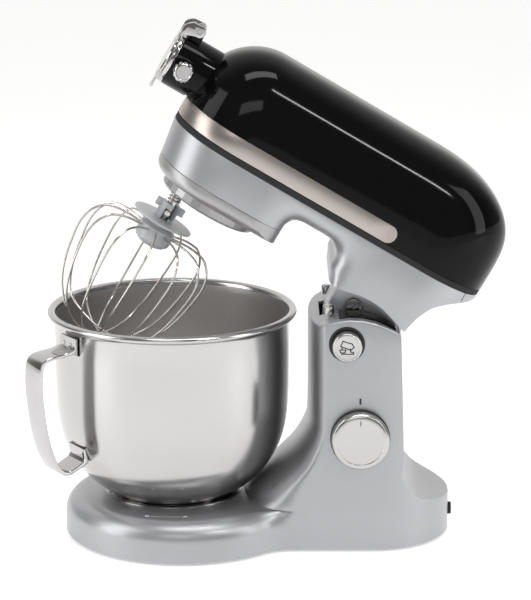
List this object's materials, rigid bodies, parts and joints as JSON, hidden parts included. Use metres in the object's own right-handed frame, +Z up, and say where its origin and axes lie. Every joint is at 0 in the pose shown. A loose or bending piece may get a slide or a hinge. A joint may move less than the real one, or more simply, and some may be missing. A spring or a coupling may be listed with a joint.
{
  "type": "stand mixer",
  "caption": "Tilt-head kitchen mixer: cast stand with locking steel bowl, hinged motor head, planetary whisk and front accessory hub.",
  "frame": {"origin": "on the table, at the middle of the whole object's length and width with the head raised", "axes": "+Z up, -X towards the front of the mixer (bowl side), -Y the side with the speed knob"},
  "size_m": [0.4324, 0.228, 0.4747],
  "materials": {
    "silver_paint": "fine satin metallic silver paint",
    "gearbox_silver": "satin metallic silver, slightly warmer",
    "black_gloss": "piano-black gloss",
    "brushed_trim": "long brushing along the band",
    "black_rubber": "moulded rubber",
    "chrome": "polished plating",
    "bowl_steel": "polished outside, brushed round inside",
    "machined_steel": "turned or pressed steel",
    "wire_steel": "drawn steel wire",
    "whisk_grey": "light blue-grey moulding",
    "black_plastic": "fine moulded texture",
    "bush_brass": "turned",
    "board_green": "solder mask"
  },
  "bodies": {
    "stand": {"stand_housing": "silver_paint", "base_plate": "black_plastic", "foot_1": "black_rubber", "foot_2": "black_rubber", "foot_3": "black_rubber", "foot_4": "black_rubber", "bowl_clamp_plate": "chrome", "cord_gland": "black_rubber", "hinge_frame": "machined_steel", "hinge_pin": "machined_steel", "hinge_bush_near": "bush_brass", "hinge_bush_far": "bush_brass", "stop_post_near": "machined_steel", "stop_post_far": "machined_steel", "column_cap_near": "black_gloss", "column_cap_far": "black_gloss", "knob_bezel": "black_plastic", "speed_switch": "black_plastic", "button_guide": "black_plastic", "button_spring": "machined_steel", "control_board": "board_green"},
    "bowl": {"bowl_shell": "bowl_steel", "bowl_foot_ring": "bowl_steel", "bowl_handle": "chrome"},
    "knob": {"speed_knob": "chrome"},
    "button": {"tilt_button": "chrome"},
    "pawl": {"latch_pawl": "machined_steel"},
    "head": {"lower_housing": "silver_paint", "gearbox_cover": "gearbox_silver", "top_cover": "black_gloss", "trim_band": "brushed_trim", "seam_gasket": "black_rubber", "tilt_bracket": "silver_paint", "bracket_bolt": "machined_steel", "hub_bezel": "chrome", "flap_pin": "machined_steel", "motor": "machined_steel", "motor_cradle": "machined_steel", "gear_plate": "gearbox_silver", "carrier_bearing_lower": "machined_steel", "carrier_bearing_upper": "machined_steel", "ring_gear": "machined_steel"},
    "flap": {"hub_flap": "chrome"},
    "clamp": {"clamp_screw": "chrome"},
    "takeoff": {"takeoff_shaft": "machined_steel"},
    "rotor": {"motor_shaft": "machined_steel"},
    "carrier": {"planet_carrier": "gearbox_silver", "carrier_shaft": "machined_steel", "crown_gear": "machined_steel"},
    "beater": {"beater_shaft": "machined_steel", "planet_gear": "machined_steel", "cross_pin": "machined_steel", "beater_spring": "machined_steel"},
    "whisk": {"whisk_hub": "whisk_grey", "whisk_wire_1": "wire_steel", "whisk_wire_2": "wire_steel", "whisk_wire_3": "wire_steel", "whisk_wire_4": "wire_steel", "whisk_wire_5": "wire_steel", "whisk_wire_6": "wire_steel"}
  },
  "joints": [
    {"name": "head_tilt", "type": "hinge", "parent": "stand", "child": "head", "pos_m": [0.1131, 0, 0.196], "axis": [0, 1, 0], "range_deg": [-30.5, 0]},
    {"name": "bowl_twist", "type": "hinge", "parent": "stand", "child": "bowl", "pos_m": [-0.0869, 0, 0.028], "axis": [0, 0, 1], "range_deg": [-25, 0]},
    {"name": "speed_knob_turn", "type": "hinge", "parent": "stand", "child": "knob", "pos_m": [0.0835, -0.0713, 0.107], "axis": [0, 1, 0], "range_deg": [-35, 210]},
    {"name": "tilt_button_push", "type": "slide", "parent": "stand", "child": "button", "axis": [0, 1, 0], "range_m": [0, 0.003], "stiffness_N_per_m": 600, "springref_m": -0.003, "deforming": ["button_spring"]},
    {"name": "latch_pawl_turn", "type": "hinge", "parent": "stand", "child": "pawl", "pos_m": [0.0601, -0.038, 0.1935], "axis": [0, 0, 1], "range_deg": [0, 14.5]},
    {"name": "hub_flap_swing", "type": "hinge", "parent": "head", "child": "flap", "pos_m": [-0.05973, 0, 0.46609], "axis": [0, 1, 0], "range_deg": [0, 110]},
    {"name": "clamp_screw_turn", "type": "hinge", "parent": "head", "child": "clamp", "pos_m": [-0.07354, -0.04, 0.43477], "axis": [0, 1, 0], "continuous": true},
    {"name": "planetary_spin", "type": "hinge", "parent": "head", "child": "carrier", "pos_m": [-0.0511, 0, 0.31129], "axis": [0.5075, 0, 0.8616], "continuous": true},
    {"name": "beater_spin", "type": "hinge", "parent": "carrier", "child": "beater", "pos_m": [-0.07566, 0, 0.32576], "axis": [0.5075, 0, 0.8616], "continuous": true},
    {"name": "whisk_push", "type": "slide", "parent": "beater", "child": "whisk", "axis": [0.5075, 0, 0.8616], "range_m": [0, 0.004], "stiffness_N_per_m": 900, "springref_m": -0.004, "deforming": ["beater_spring"]},
    {"name": "motor_spin", "type": "hinge", "parent": "head", "child": "rotor", "pos_m": [0.04932, 0, 0.36356], "axis": [0.8616, 0, -0.5075], "continuous": true},
    {"name": "takeoff_spin", "type": "hinge", "parent": "head", "child": "takeoff", "pos_m": [-0.05408, 0, 0.42446], "axis": [0.8616, 0, -0.5075], "continuous": true}
  ],
  "couplings": [
    {"joint": "latch_pawl_turn", "follows": "tilt_button_push", "rad_per_m": 83.333},
    {"joint": "beater_spin", "follows": "planetary_spin", "ratio": -3.5},
    {"joint": "motor_spin", "follows": "planetary_spin", "ratio": 1.3636},
    {"joint": "takeoff_spin", "follows": "planetary_spin", "ratio": -1.3636}
  ]
}
